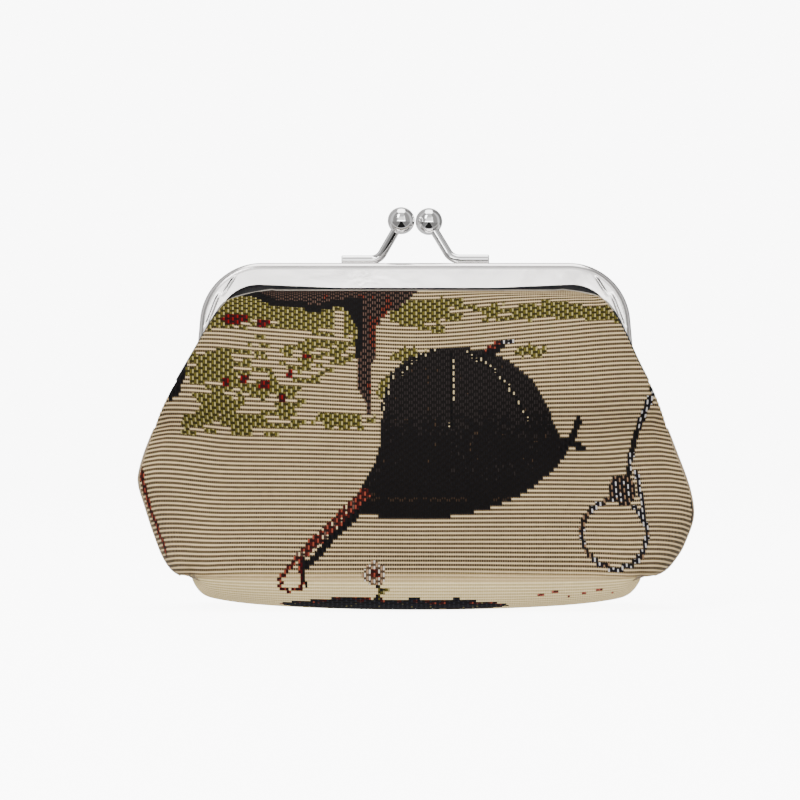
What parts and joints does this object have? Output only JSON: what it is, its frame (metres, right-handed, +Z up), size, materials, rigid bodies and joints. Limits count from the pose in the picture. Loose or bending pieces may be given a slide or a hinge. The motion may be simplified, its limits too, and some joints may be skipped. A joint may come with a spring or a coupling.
{
  "type": "coin purse",
  "caption": "Soft boxed-bottom coin purse in ribbed tapestry cloth, hung in a hinged metal frame that shuts with a kiss-lock ball clasp.",
  "frame": {"origin": "on the surface the purse stands on, under the middle of its base", "axes": "+X to the right across the purse, -Y towards the front panel, +Z up"},
  "size_m": [0.1398, 0.0442, 0.1007],
  "materials": {
    "frame_metal": "polished nickel plate",
    "clasp_metal": "mirror polished plate",
    "rivet_metal": "nickel plate",
    "tapestry": "ribbed woven tapestry",
    "fleece": "soft fleece",
    "satin_lining": "black satin",
    "black_binding": "black plain weave",
    "paper_cord": "twisted kraft paper"
  },
  "bodies": {
    "bag": {"outer_panel_front": "tapestry", "outer_panel_back": "tapestry", "interlining_front": "fleece", "interlining_back": "fleece", "lining_front": "satin_lining", "lining_back": "satin_lining", "hinge_rivet_left": "rivet_metal", "hinge_rivet_right": "rivet_metal", "hinge_washer_left": "rivet_metal", "hinge_washer_right": "rivet_metal"},
    "front_half": {"frame_front": "frame_metal", "clasp_arm_front": "clasp_metal", "clasp_ball_front": "clasp_metal", "edge_binding_front": "black_binding", "paper_cord_front": "paper_cord"},
    "back_half": {"frame_back": "frame_metal", "clasp_arm_back": "clasp_metal", "clasp_ball_back": "clasp_metal", "edge_binding_back": "black_binding", "paper_cord_back": "paper_cord"}
  },
  "joints": [
    {"name": "front_half_hinge", "type": "hinge", "parent": "bag", "child": "front_half", "pos_m": [0, 0, 0.05], "axis": [1, 0, 0], "range_deg": [0, 45], "deforming": ["outer_panel_front", "interlining_front", "lining_front"]},
    {"name": "back_half_hinge", "type": "hinge", "parent": "bag", "child": "back_half", "pos_m": [0, 0, 0.05], "axis": [1, 0, 0], "range_deg": [-45, 0], "deforming": ["outer_panel_back", "interlining_back", "lining_back"]}
  ],
  "couplings": [
    {"joint": "back_half_hinge", "follows": "front_half_hinge", "ratio": -1}
  ]
}
